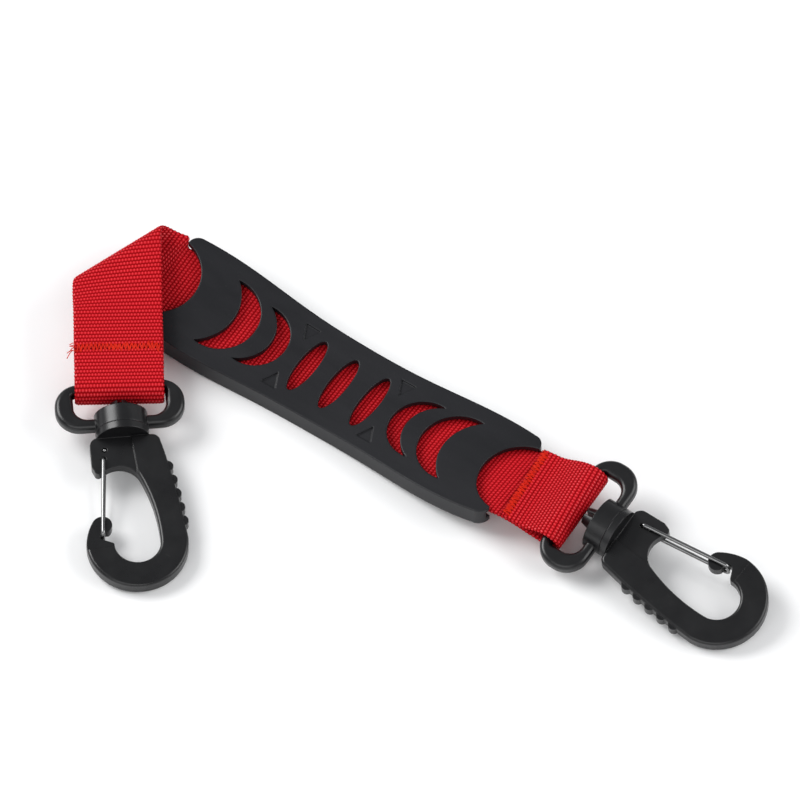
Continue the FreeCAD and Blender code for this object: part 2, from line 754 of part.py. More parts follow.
class Leg:
    """The left leg: from the fold down to the left ring, round its bar and back under itself."""

    def __init__(self, fold):
        edge = math.pi * fold.round + SIZES["fold_flat_edge"]
        self.first = flipped([fold.section(edge)])[0]
        self.top = (self.first[0] + self.first[1]) * 0.5
        self.forward = heading(SIZES["leg_heading"])
        self.side = Z_AXIS.cross(self.forward)
        flat = Vector(self.top.x, self.top.y, 0) + self.forward * SIZES["leg_bar_distance"]
        self.bar = Vector(flat.x, flat.y, bar_height("left"))
        slack = self.side * SIZES["left_ring_shift"] + self.forward * SIZES["left_ring_back"]
        self.ring_middle = self.bar - slack
        drop = self.top.z - self.bar.z
        distance = SIZES["leg_bar_distance"]
        direct = math.hypot(drop, distance)
        self.fall = math.atan2(drop, distance) - math.asin(SIZES["loop_round"] / direct)
        self.along = self.forward * math.cos(self.fall) - Z_AXIS * math.sin(self.fall)
        self.up = Z_AXIS * math.cos(self.fall) + self.forward * math.sin(self.fall)
        self.touch = self.bar + self.up * SIZES["loop_round"]

    def section(self, before_bar, depth=0.0):
        """Section across the leg, a distance before the bar and a depth below the upper layer."""
        return across(self.touch - self.along * before_bar, self.side, self.up, -depth)

    def shape(self):
        step = SIZES["webbing_thick"] + SIZES["layer_gap"]
        tilt = math.degrees(self.fall)
        tab, meet = SIZES["left_tab_length"], SIZES["left_stitch_from_bar"] - 2.5
        length = (self.touch - self.top).Length
        over = [self.first] + [self.section(s) for s in spread(length * 0.72, 1.0, 4)]
        around = bar_wrap(self.bar, self.forward, SIZES["left_hook_roll"], 90 - tilt, -78 - tilt, 12)
        under = []
        for share in (0.2, 0.4, 0.6, 0.8, 1.0):
            depth = hermite(2 * SIZES["loop_round"], 0.0, step, 0.0, share)
            under.append(self.section(share * meet, depth))
        under.append(self.section(tab, step))
        return ribbon(over + around + flipped(under))


def stitch_band(sections):
    """Flat band that the rows of thread fill, lying on the webbing."""
    margin = SIZES["stitch_margin"]
    lift = (SIZES["webbing_thick"] + SIZES["stitch_thick"]) / 2 + SIZES["stitch_clear"]
    band = []
    for near, far, normal in sections:
        inward = (far - near).normalize() * margin
        band.append((near + inward + normal * lift, far - inward + normal * lift, normal))
    return ribbon(band, SIZES["stitch_thick"])


def hook_placement(bar, end):
    """Placement of a ring and its hook: the swivel axis runs from the ring's bar down to the table."""
    degrees = SIZES[f"{end}_hook_heading"]
    along = heading(degrees, SIZES[f"{end}_hook_slope"])
    level = Z_AXIS.cross(heading(degrees))
    side, _ = rolled(level, along.cross(level), SIZES[f"{end}_hook_roll"])
    flat = side * (-1 if end == "right" else 1)
    up = flat.cross(along)
    place = Placement(Matrix(flat.x, along.x, up.x, 0,
                             flat.y, along.y, up.y, 0,
                             flat.z, along.z, up.z, 0,
                             0, 0, 0, 1))
    place.Base = bar - place.Rotation.multVec(Vector(0, SIZES["ring_bar_y"], 0))
    return place


def add_shape(doc, name, shape, placement=None):
    part = doc.addObject("Part::Feature", name)
    part.Shape = shape
    part.Label = name
    part.Placement = placement or Placement()
    return part


def derived_sizes():
    """Sizes that follow from the driving ones."""
    SIZES["nothing"] = 0.0
    SIZES["through_all"] = 20.0
    SIZES["web_level"] = SIZES["hook_web_thick"] / 2
    SIZES["head_slot_half"] = SIZES["head_slot_width"] / 2
    SIZES["ring_bar_y"] = (SIZES["ring_bar_outer_y"] + SIZES["ring_bar_inner_y"]) / 2
    SIZES["boss_middle_y"] = (SIZES["boss_far_y"] + SIZES["boss_near_y"]) / 2
    for number in range(RIB_COUNT):
        y = SIZES["rib_first_y"] + number * SIZES["rib_pitch"]
        SIZES[f"rib_{number}_y"] = y
        SIZES[f"rib_{number}_x"] = spine_edge_x(y) + SIZES["rib_out"] - SIZES["rib_round"]


def make_end(doc, side, bar, outline, recesses):
    """One ring, hook and gate, placed on the webbing."""
    place = hook_placement(bar, side)
    ring = make_ring(doc, side)
    hook = make_hook(doc, side, outline, recesses)
    ring.Placement = place
    hook.Placement = place
    gate = add_shape(doc, f"gate_{side}", gate_shape(), place)
    return [ring, hook, gate]


def left_meeting(fold):
    """Sections where the webbing leaves the grip's left end, climbs and turns to meet the fold."""
    last, first = fold.section(-SIZES["fold_flat_edge"]), run_section(SIZES["left_free_x"])
    sections = [last]
    for share in (0.75, 0.5, 0.25):
        edges = []
        for start, end in zip(last[:2], first[:2]):
            reach = (end - start).Length
            edges.append(hermite(start, fold.arrive * -reach, end, Vector(reach, 0, 0), 1 - share))
        normal = (last[2] * share + first[2] * (1 - share)).normalize()
        sections.append((edges[0], edges[1], normal))
    return sections


def make_webbing(doc, fold, leg):
    """The one length of webbing, divided where it flexes, and its two bands of stitching."""
    hinge, half = SIZES["right_hinge_x"], SIZES["right_neck_half"]
    start, end = hinge - half, hinge + half
    inside = [run_section(x) for x in spread(SIZES["left_free_x"], SIZES["grip_half_length"] - 2, 24)]
    beyond = layer_sections(lower_level, SIZES["grip_half_length"] + 1, start, 3)
    neck = [ribbon(layer_sections(level, start, end, 3)) for level in (lower_level, upper_level)]
    tab = layer_sections(upper_level, SIZES["right_tab_x"], start, 3)
    stitch_x, stitch_half = SIZES["right_stitch_x"], SIZES["stitch_length"] / 2
    stitch_from_bar = SIZES["left_stitch_from_bar"]
    left_stitches = [leg.section(stitch_from_bar + stitch_half), leg.section(stitch_from_bar - stitch_half)]
    shapes = {
        "strap_run": ribbon(left_meeting(fold) + inside + beyond),
        "strap_fold": ribbon(fold.sections()),
        "strap_leg": leg.shape(),
        "strap_tab": ribbon(tab),
        "strap_neck": Part.makeCompound(neck),
        "strap_loop": right_loop_shape(),
        "stitching_right": stitch_band(layer_sections(upper_level, stitch_x - stitch_half,
                                                      stitch_x + stitch_half, 3)),
        "stitching_left": stitch_band(left_stitches),
    }
    return [add_shape(doc, name, shape) for name, shape in shapes.items()]


def build():
    doc = FreeCAD.newDocument("CarryStrap")
    recesses = [store_outline(BLOCK_RECESS), store_outline(NOSE_RECESS)]
    outlines = store_outline(HOOK_OUTLINE), recesses
    derived_sizes()
    make_sheet(doc, SIZES)

    fold = Fold()
    leg = Leg(fold)
    parts = make_end(doc, "right", right_bar(), *outlines)
    parts += make_end(doc, "left", leg.ring_middle, *outlines)
    parts.append(add_shape(doc, "grip_sleeve", grip_shape()))
    parts += make_webbing(doc, fold, leg)
    doc.recompute()
    return doc, parts


def write(doc, parts):
    for item in doc.Objects:
        faults = {"Invalid", "Error"} & set(item.State)
        if faults:
            raise RuntimeError(f"{item.Name} is {faults}")
    for part in parts:
        if part.Shape.isNull() or not part.Shape.isValid():
            raise RuntimeError(f"{part.Label} has no valid shape")
    os.makedirs("parts", exist_ok=True)
    for part in parts:
        part.Shape.exportStep(f"parts/{part.Label}.step")
        box = part.Shape.BoundBox
        print(f"{part.Label:16s} {part.Shape.Volume:9.1f} mm3  z {box.ZMin:6.2f} to {box.ZMax:6.2f}"
              f"  x {box.XMin:7.2f} to {box.XMax:7.2f}  y {box.YMin:7.2f} to {box.YMax:7.2f}")


write(*build())
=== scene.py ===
"""Carry strap: red webbing through a moulded grip sleeve, with a swivel snap hook on each end.

Lengths are millimetres in the part's own frame, and meshes, lights and the camera are in metres.
"""
import math

import bpy
import numpy as np
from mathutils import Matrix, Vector


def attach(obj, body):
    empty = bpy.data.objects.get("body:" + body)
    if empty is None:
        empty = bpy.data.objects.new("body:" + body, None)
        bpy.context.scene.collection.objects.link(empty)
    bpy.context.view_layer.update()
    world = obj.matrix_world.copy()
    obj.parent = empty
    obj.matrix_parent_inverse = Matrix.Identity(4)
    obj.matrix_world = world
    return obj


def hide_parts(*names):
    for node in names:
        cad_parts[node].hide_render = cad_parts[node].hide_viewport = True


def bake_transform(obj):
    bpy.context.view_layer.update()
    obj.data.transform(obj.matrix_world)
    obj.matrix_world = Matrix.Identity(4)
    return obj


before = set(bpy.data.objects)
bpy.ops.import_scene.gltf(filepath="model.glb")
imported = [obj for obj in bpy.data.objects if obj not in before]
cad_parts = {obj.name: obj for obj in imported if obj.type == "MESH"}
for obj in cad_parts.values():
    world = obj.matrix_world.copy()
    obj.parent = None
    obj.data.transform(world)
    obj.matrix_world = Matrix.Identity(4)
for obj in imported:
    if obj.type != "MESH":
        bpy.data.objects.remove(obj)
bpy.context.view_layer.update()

MM = 0.001
UV_UNIT = 100.0     # millimetres of webbing to one unit of its weave coordinates
RNG = np.random.default_rng(7)

# ---------------------------------------------------------------- sizes shared with the CAD
# Webbing: width, thickness, air between two layers, and the step from one layer to the next.
WIDTH, THICK, GAP = 25.0, 1.2, 0.05
LAYER = THICK + GAP
# Weave: length of a pick and width of a yarn, and how many rows of points a pick gets.
PICK, YARN, ROWS_PER_PICK = 1.17, WIDTH / 54, 4
# Grip: half its length, height of the webbing in it, its bow, and its turn about X with its twist.
GRIP_HALF, GRIP_HEIGHT, GRIP_BOW = 61.5, 4.3, 960.0
GRIP_TURN, GRIP_TWIST = 4.6, 0.075
# Webbing in the grip: from where to where it follows the grip, and where it has become two layers.
RUN_FIRST_X, RUN_LAST_X, LAYERS_FIRST_X = -61.3, 59.5, 62.5
# Rings: bar to the webbing's middle line, bar to boss, bar to hook, and the swivel axis's height.
LOOP_ROUND, BAR_TO_BOSS, BAR_TO_HOOK, AXIS_Z = 3.6, 11.5, 18.5, 8.2
# Diagonal fold: where it starts, its lean, its bend radius, the heading it arrives on, and the flat
# stretch kept at each side of the bend.
FOLD_START, FOLD_LEAN = np.array([-71.0, 0.6, 10.0]), np.array([0.09, -0.125, 1])
FOLD_ROUND, FOLD_ARRIVAL, FOLD_FLAT = 3.4, 193.4, 1.5
# Left end: heading of leg and hook, fall of the hook, bar from the fold, turned-under length, middle
# of the stitching from the bar, and the ring's place off the loop's middle, sideways and back.
LEG_HEADING, LEFT_HEADING, LEFT_SLOPE = -53.3, -49.5, 6.3
LEG_REACH, LEFT_TAB, LEFT_STITCH, RING_SHIFT, RING_BACK = 38.2, 18.0, 12.0, 0.4, 0.2
# Right end: bar's place in plan, start of the tab, stitching, hinge with half the neck's length, and
# where the webbing starts to turn off the grip's line.
RIGHT_BAR_X, RIGHT_BAR_Y, SWAY_X = 79.8, 2.5, 50.0
RIGHT_TAB_X, RIGHT_STITCH_X, RIGHT_HINGE_X, NECK_HALF = 63.6, 64.6, 68.0, 1.8
RIGHT_HEADING, RIGHT_SLOPE, RIGHT_ROLL = 0.8, 4.1, 11.5
# Share of the way from the tab's start to the right bar at which the two layers part.
LAYERS_PART = 0.3
UP = np.array([0.0, 0.0, 1.0])
NUDGE = 0.1     # step for a direction taken from two near points


def unit(v):
    """The vector at length 1."""
    return v / np.linalg.norm(v)


def hermite(a, slope_a, b, slope_b, t):
    """Cubic from a to b as t goes from 0 to 1, with a slope at each end."""
    c, q = t**3, t**2
    return a * (2 * c - 3 * q + 1) + slope_a * (c - 2 * q + t) + b * (3 * q - 2 * c) + slope_b * (c - q)


def heading(degrees, fall=0.0):
    """Direction at an angle from +X in plan, pointing down by fall degrees."""
    turn, tilt = math.radians(degrees), math.radians(fall)
    return np.array([math.cos(turn) * math.cos(tilt), math.sin(turn) * math.cos(tilt), -math.sin(tilt)])


LEFT_BAR_Z = AXIS_Z + BAR_TO_BOSS * math.sin(math.radians(LEFT_SLOPE))
RIGHT_BAR_Z = AXIS_Z + BAR_TO_BOSS * math.sin(math.radians(RIGHT_SLOPE))
RIGHT_BAR = np.array([RIGHT_BAR_X, RIGHT_BAR_Y, RIGHT_BAR_Z])


def grip_turn(x):
    """Angle of the webbing in the grip about X, in radians."""
    return math.radians(GRIP_TURN - GRIP_TWIST * x)


def grip_height(x):
    """Height of the webbing's middle line in the bowed grip."""
    return GRIP_HEIGHT + x * x / GRIP_BOW


def sway(x):
    """How far the webbing's middle line lies to the side of the grip's line."""
    span = RIGHT_BAR_X - SWAY_X
    share = min(1.2, max(0.0, (x - SWAY_X) / span))
    slope = math.tan(math.radians(RIGHT_HEADING / 2)) * span
    return hermite(0.0, 0.0, RIGHT_BAR_Y, slope, share)


def rolled(side, up, degrees):
    """The side and up directions turned about the third one."""
    turn = math.radians(degrees)
    return side * math.cos(turn) + up * math.sin(turn), up * math.cos(turn) - side * math.sin(turn)


def right_share(x):
    """Share of the way from the grip's end to the right bar."""
    return max(0.0, (x - GRIP_HALF) / (RIGHT_BAR_X - GRIP_HALF))


def lower_level(x):
    """Level of the lower layer at the right end, below the line to the bar's centre."""
    return hermite(0.0, 0.0, -LOOP_ROUND, 0.0, right_share(x))


def upper_level(x):
    """Level of the upper layer: on the lower one as far as the parting, then up over the bar."""
    meet = RIGHT_TAB_X + (RIGHT_BAR_X - RIGHT_TAB_X) * LAYERS_PART
    if x < meet:
        return lower_level(x) + LAYER
    span = RIGHT_BAR_X - meet
    slope = (lower_level(meet + NUDGE) - lower_level(meet)) / NUDGE * span
    return hermite(lower_level(meet) + LAYER, slope, LOOP_ROUND, 0.0, (x - meet) / span)


def right_middle(level, x):
    """A point of either layer's middle line at the right end, with its direction across."""
    slope = 2 * GRIP_HALF / GRIP_BOW * (RIGHT_BAR_X - GRIP_HALF)
    height = hermite(grip_height(GRIP_HALF), slope, RIGHT_BAR_Z, 0.0, right_share(x))
    level_side = unit(np.cross(UP, np.array([NUDGE, sway(x + NUDGE) - sway(x), 0])))
    side, up = rolled(level_side, UP, RIGHT_ROLL * min(1.0, right_share(x)))
    return np.array([x, sway(x), height]) + up * level(x), side


def across(middle, side, normal, depth=0.0, half=WIDTH / 2):
    """One section of webbing: near edge, far edge, and the normal of its show face."""
    return middle - side * half - normal * depth, middle + side * half - normal * depth, normal


def run_section(x):
    """Section of the webbing inside the grip."""
    turn = grip_turn(x)
    side = np.array([0, math.cos(turn), math.sin(turn)])
    up = np.array([0, -math.sin(turn), math.cos(turn)])
    return across(np.array([x, sway(x), grip_height(x)]), side, up)


def layer_section(level, x):
    """Section of either layer at the right end, square to its own line."""
    here, side = right_middle(level, x)
    ahead = unit(right_middle(level, x + NUDGE / 2)[0] - here)
    side = unit(side - ahead * (side @ ahead))
    return across(here, side, np.cross(ahead, side))


def wrap(centre, forward, roll, first, last, steps):
    """Sections round a ring bar by angle above forward; the show face is the outside."""
    side, up = rolled(np.cross(UP, forward), UP, roll)
    for angle in np.radians(np.linspace(first, last, steps)):
        spoke = forward * math.cos(angle) + up * math.sin(angle)
        yield across(centre + spoke * LOOP_ROUND, side, spoke)


class Fold:
    """Diagonal fold: a flat strip wrapped half round a cylinder along the fold line."""

    def __init__(self):
        line = math.radians((FOLD_ARRIVAL + 360 + LEG_HEADING) / 2 - 180)
        self.up = unit(FOLD_LEAN)
        self.line = self.in_plane(np.array([math.cos(line), math.sin(line), 0]))
        self.out = np.cross(self.up, self.line)
        self.arrive = self.in_plane(heading(FOLD_ARRIVAL))
        self.axis = FOLD_START + self.up * FOLD_ROUND

    def in_plane(self, v):
        """The direction laid into the fold's own flat plane."""
        return unit(v - self.up * (v @ self.up))

    def section(self, run):
        """Section along the fold line, at a distance from the start of the bend."""
        outward = self.arrive @ self.out
        slip = run * (self.arrive @ self.line) / outward
        half = WIDTH / 2 / outward
        turn = min(max(run / FOLD_ROUND, 0.0), math.pi)
        spoke = self.out * math.sin(turn) - self.up * math.cos(turn)
        lead = self.out * math.cos(turn) + self.up * math.sin(turn)
        middle = self.axis + spoke * FOLD_ROUND + lead * (run - turn * FOLD_ROUND) + self.line * slip
        return middle - self.line * half, middle + self.line * half, -spoke


FOLD = Fold()
BEND = math.pi * FOLD_ROUND
LEG_NEAR, LEG_FAR, _ = FOLD.section(BEND + FOLD_FLAT)
LEG_TOP = (LEG_NEAR + LEG_FAR) / 2
LEG_FORWARD = heading(LEG_HEADING)
LEG_SIDE = np.cross(UP, LEG_FORWARD)
LEFT_BAR = np.array([*(LEG_TOP + LEG_FORWARD * LEG_REACH)[:2], LEFT_BAR_Z])
DROP = LEG_TOP[2] - LEFT_BAR_Z
FALL = math.atan2(DROP, LEG_REACH) - math.asin(LOOP_ROUND / math.hypot(DROP, LEG_REACH))
LEG_ALONG = LEG_FORWARD * math.cos(FALL) - UP * math.sin(FALL)
LEG_UP = UP * math.cos(FALL) + LEG_FORWARD * math.sin(FALL)
LEG_TOUCH = LEFT_BAR + LEG_UP * LOOP_ROUND


def leg_section(before, depth=0.0):
    """Section of the straight leg at a distance before the left bar; depth goes below its top layer."""
    return across(LEG_TOUCH - LEG_ALONG * before, LEG_SIDE, LEG_UP, depth)


def flip(section):
    """The same section with its show face on the other side."""
    return section[0], section[1], -section[2]


# ---------------------------------------------------------------- the strap's centre surface
def between(a, b, slope_a, slope_b, steps):
    """Sections that run smoothly from a to b, edge by edge."""
    rows = []
    for t in np.linspace(0, 1, steps + 1)[1:-1]:
        edges = []
        for start, end in zip(a[:2], b[:2]):
            reach = np.linalg.norm(end - start)
            edges.append(hermite(start, slope_a * reach, end, slope_b * reach, t))
        rows.append((edges[0], edges[1], unit(a[2] * (1 - t) + b[2] * t)))
    return rows


def strap_sections():
    """Every section from the left cut end to the right one, with the rows where stretches meet."""
    stitch_half, straight_share, short_of_bar = 2.5, 0.62, 0.6
    # The turned-under left end, flat on the leg, then dropping away from it to the bar.
    meet = LEFT_STITCH - stitch_half
    rows = [flip(leg_section(b, LAYER)) for b in np.linspace(LEFT_TAB, meet, 40)]
    for share in np.linspace(1, 0, 41)[1:]:
        depth = hermite(2 * LOOP_ROUND, 0.0, LAYER, 0.0, share)
        rows.append(flip(leg_section(share * meet, depth)))
    # Round the left bar and straight up the leg.
    tilt = math.degrees(FALL)
    rows += list(wrap(LEFT_BAR, LEG_FORWARD, 0.0, -85 - tilt, 90 - tilt, 60))[1:]
    straight = np.linalg.norm(LEG_TOUCH - LEG_TOP) * straight_share
    rows += [leg_section(b) for b in np.linspace(0.3, straight, 60)]
    square_left = len(rows) - 1
    # Over the diagonal fold, with a smooth stretch before and after it.
    steps = 90
    advance = (BEND + 2 * FOLD_FLAT) / steps
    bend = [flip(FOLD.section(BEND + FOLD_FLAT - n * advance)) for n in range(steps + 1)]
    rows += between(rows[-1], bend[0], -LEG_ALONG, -LEG_ALONG, 40) + bend
    first = flip(run_section(RUN_FIRST_X))
    rows += between(bend[-1], first, -FOLD.arrive, np.array([1.0, 0, 0]), 30)
    # Through the grip.
    grip_left = len(rows)
    rows += [flip(run_section(x)) for x in np.linspace(RUN_FIRST_X, RUN_LAST_X, 200)]
    grip_right = len(rows) - 1
    # The lower layer to the right bar, round it, and the upper layer back to the tab's end.
    near_bar = RIGHT_BAR_X - short_of_bar
    rows += [flip(layer_section(lower_level, x)) for x in np.linspace(LAYERS_FIRST_X, near_bar, 80)]
    rows += wrap(RIGHT_BAR, heading(RIGHT_HEADING / 2), RIGHT_ROLL, -84, 84, 60)
    rows += [layer_section(upper_level, x) for x in np.linspace(near_bar, RIGHT_TAB_X, 80)]
    return rows, (square_left, grip_left, grip_right)


class Strap:
    """The strap's centre surface by distance along the webbing and distance across it."""

    def __init__(self):
        rows, (square_left, grip_left, grip_right) = strap_sections()
        self.near = np.array([r[0] for r in rows])
        self.far = np.array([r[1] for r in rows])
        self.normal = np.array([r[2] for r in rows])
        steps = [np.linalg.norm(np.diff(edge, axis=0), axis=1) for edge in (self.near, self.far)]
        # Both edges count the same length over each stretch, so that the picks stay square to them.
        for low, high in ((0, square_left), (square_left, grip_left), (grip_left, grip_right),
                          (grip_right, len(rows) - 1)):
            mean = (steps[0][low:high].sum() + steps[1][low:high].sum()) / 2
            for s in steps:
                s[low:high] *= mean / s[low:high].sum()
        self.s = [np.concatenate([[0], np.cumsum(s)]) for s in steps]
        self.length = self.s[0][-1]

    def at(self, s, t):
        """Points and show-face normals at distances s along and t across (arrays of one shape)."""
        s, t = np.broadcast_arrays(np.asarray(s, float), np.asarray(t, float))
        points, normals = np.empty(s.shape + (3,)), np.empty(s.shape + (3,))
        for value in np.unique(t):
            pick = t == value
            w = value / WIDTH + 0.5
            along = self.s[0] * (1 - w) + self.s[1] * w
            line = self.near * (1 - w) + self.far * w
            for k in range(3):
                points[pick, k] = np.interp(s[pick], along, line[:, k])
                normals[pick, k] = np.interp(s[pick], along, self.normal[:, k])
        normals /= np.linalg.norm(normals, axis=-1, keepdims=True)
        return points, normals

    def distance_near(self, point, low, high):
        """Distance along the webbing of its middle's nearest point, searched between two distances."""
        s = np.linspace(low, high, 4000)
        points, _ = self.at(s, np.zeros_like(s))
        return float(s[np.argmin(np.linalg.norm(points - point, axis=1))])


STRAP = Strap()


# ---------------------------------------------------------------- meshes
def added(name, data):
    """Object with the given mesh, light or camera, put into the scene."""
    item = bpy.data.objects.new(name, data)
    bpy.context.scene.collection.objects.link(item)
    return item


def new_mesh(name, points, faces):
    """Smooth-shaded mesh from points in millimetres and a list of faces."""
    mesh = bpy.data.meshes.new(name)
    mesh.from_pydata([tuple(p) for p in np.asarray(points) * MM], [], faces)
    mesh.shade_smooth()
    return mesh


def closed_faces(rows, around, base):
    """Faces of a tube of rows, each with a number of points around, closed by a face at each end."""
    r = np.arange(rows - 1)[:, None]
    c = np.arange(around)[None, :]
    after = (c + 1) % around
    corners = (r * around + c, r * around + after, (r + 1) * around + after, (r + 1) * around + c)
    quads = np.stack(np.broadcast_arrays(*corners), -1).reshape(-1, 4)
    first = [base + n for n in range(around)]
    last = [base + (rows - 1) * around + n for n in reversed(range(around))]
    return (quads[:, ::-1] + base).tolist() + [first, last]


def weave(s, t, phase):
    """Height of the woven face: a ridge at every pick, crossed by warp floats on alternate columns."""
    ridge_height, float_height, mean_height = 0.14, 0.12, 0.15
    column = np.floor(t / YARN + 1e-6)
    crown = np.abs(np.sin(np.pi * t / YARN)) ** 0.8
    ridge = np.abs(np.cos(np.pi * s / PICK)) ** 0.6
    over = (np.round(s / PICK) + column + phase) % 2
    return ridge * (ridge_height + float_height * crown * over) - mean_height


def stitch_dip(s, centres):
    """How far the stitching pulls the webbing's faces in."""
    depth, reach = 0.16, 1.3
    return sum(-depth * np.exp(-((s - c) / reach) ** 2) for c in centres)


def strap_skin(lines, centres):
    """Closed skin of the webbing at the given distances along it, and its weave coordinates."""
    half = WIDTH / 2
    edge_fade, edge_ripple, edge_round, edge_share = 0.7, 0.10, 0.28, 0.62
    columns = np.linspace(-half, half, int(round(WIDTH / YARN)) * 2 + 1)
    s, t = np.meshgrid(lines, columns, indexing="ij")
    points, normals = STRAP.at(s, t)
    fade = np.clip((half - np.abs(t)) / edge_fade, 0, 1) ** 0.5
    dip = stitch_dip(s, centres)
    ripple = edge_ripple * np.cos(2 * np.pi * s / PICK) * (np.abs(t) > half - 0.01)
    side = np.gradient(points, axis=1)
    side /= np.linalg.norm(side, axis=-1, keepdims=True)
    points = points + side * (ripple * np.sign(t))[..., None]

    def face_height(phase):
        body = THICK / 2 * (edge_share + (1 - edge_share) * fade)
        return (body + (weave(s, t + half, phase) + dip) * fade)[..., None]

    top = points + normals * face_height(0)
    bottom = (points - normals * face_height(1))[:, ::-1]
    far = points[:, -1:] + side[:, -1:] * edge_round
    near = points[:, :1] - side[:, :1] * edge_round
    skin = np.concatenate([top, far, bottom, near], 1)
    edge = THICK / 2
    u = np.concatenate([t, t[:, -1:] + edge, t[:, ::-1] + WIDTH + THICK, t[:, :1] - edge], 1)
    v = np.concatenate([s, s[:, :1], s, s[:, :1]], 1)
    return skin, np.stack([u, v], -1)


def skin_normals(skin):
    """Smooth normals of the whole skin, so that the pieces cut from it meet without a seam."""
    along = np.gradient(skin, axis=0)
    around = np.roll(skin, -1, axis=1) - np.roll(skin, 1, axis=1)
    normal = np.cross(along, around)
    return normal / np.linalg.norm(normal, axis=-1, keepdims=True)


def strap_piece(name, spans, skin, coords, normals):
    """One piece of webbing made of one or more spans of the skin's rows, each closed at both ends."""
    around = skin.shape[1]
    points, faces, uvs, turned = [], [], [], []
    base = 0
    for low, high in spans:
        rows = high - low + 1
        points.append(skin[low:high + 1].reshape(-1, 3))
        uvs.append(coords[low:high + 1].reshape(-1, 2))
        turned.append(normals[low:high + 1].reshape(-1, 3))
        faces += closed_faces(rows, around, base)
        base += rows * around
    points, uvs, turned = np.concatenate(points), np.concatenate(uvs), np.concatenate(turned)
    mesh = new_mesh(name, points, faces)
    layer = mesh.uv_layers.new(name="weave")
    corner = np.empty(len(mesh.loops), np.int64)
    mesh.loops.foreach_get("vertex_index", corner)
    layer.data.foreach_set("uv", (uvs[corner] / UV_UNIT).astype(np.float32).ravel())
    mesh.normals_split_custom_set_from_vertices([tuple(n) for n in turned])
    return added(name, mesh)


def dome_ends(path, tangent, radius):
    """The path, its directions and its radii with small rings added at each end that close it round."""
    rise = np.radians([85, 65, 45, 25])
    before = path[0] - tangent[0] * radius * np.sin(rise)[:, None]
    after = path[-1] + tangent[-1] * radius * np.sin(rise)[::-1, None]
    ends = np.ones((len(rise), 1))
    tangents = np.concatenate([tangent[:1] * ends, tangent, tangent[-1:] * ends])
    shrink = radius * np.cos(rise)
    sizes = np.concatenate([shrink, np.full(len(path), radius), shrink[::-1]])
    return np.concatenate([before, path, after]), tangents, sizes


def tube(name, paths, radius, sides=6, domed=False):
    """Round tubes along several polylines, in one mesh, with flat or domed ends."""
    points, faces = [], []
    for path in paths:
        path = np.asarray(path, float)
        tangent = np.gradient(path, axis=0)
        tangent /= np.linalg.norm(tangent, axis=1, keepdims=True)
        sizes = np.full(len(path), radius)
        if domed:
            path, tangent, sizes = dome_ends(path, tangent, radius)
        first = unit(np.cross(tangent[0], UP + 0.01))
        faces += closed_faces(len(path), sides, len(points))
        for p, d, size in zip(path, tangent, sizes):
            first = unit(first - d * (first @ d))
            second = np.cross(d, first)
            for k in range(sides):
                a = 2 * math.pi * k / sides
                points.append(p + (first * math.cos(a) + second * math.sin(a)) * size)
    mesh = new_mesh(name, points, faces)
    mesh.validate()
    return added(name, mesh)


# ---------------------------------------------------------------- materials
class Nodes:
    """Small helper that makes shader nodes and links them."""

    def __init__(self, name):
        self.material = bpy.data.materials.new(name)
        self.material.use_nodes = True
        self.tree = self.material.node_tree
        self.shader = self.tree.nodes["Principled BSDF"]

    def add(self, kind, links=None, **values):
        node = self.tree.nodes.new("ShaderNode" + kind)
        for key, value in values.items():
            setattr(node, key, value)
        for key, value in (links or {}).items():
            self.put(node, key, value)
        return node

    def put(self, node, key, value):
        if isinstance(value, bpy.types.NodeSocket):
            self.tree.links.new(value, node.inputs[key])
        else:
            node.inputs[key].default_value = value

    def set(self, **values):
        for key, value in values.items():
            self.put(self.shader, key.replace("_", " "), value)

    def math(self, kind, a, b=0.0, c=0.0):
        return self.add("Math", {0: a, 1: b, 2: c}, operation=kind).outputs[0]

    def noise(self, vector, scale, detail=3.0, rough=0.5):
        return self.add("TexNoise", {"Vector": vector, "Scale": scale, "Detail": detail,
                                     "Roughness": rough}).outputs[0]

    def ramp(self, value, low, high, to_low=0.0, to_high=1.0):
        return self.add("MapRange", {"Value": value, "From Min": low, "From Max": high,
                                     "To Min": to_low, "To Max": to_high}).outputs[0]

    def mix(self, share, a, b):
        node = self.add("Mix", data_type="RGBA")
        for key, value in (("Factor", share), ("A", a), ("B", b)):
            sockets = [s for s in node.inputs if s.name == key and s.enabled]
            if isinstance(value, bpy.types.NodeSocket):
                self.tree.links.new(value, sockets[0])
            else:
                sockets[0].default_value = value
        return [s for s in node.outputs if s.enabled][0]

    def bump(self, height, distance, strength=1.0, normal=None):
        links = {"Height": height, "Distance": distance, "Strength": strength}
        if normal is not None:
            links["Normal"] = normal
        return self.add("Bump", links).outputs[0]

    def place(self):
        return self.add("TexCoord").outputs["Object"]


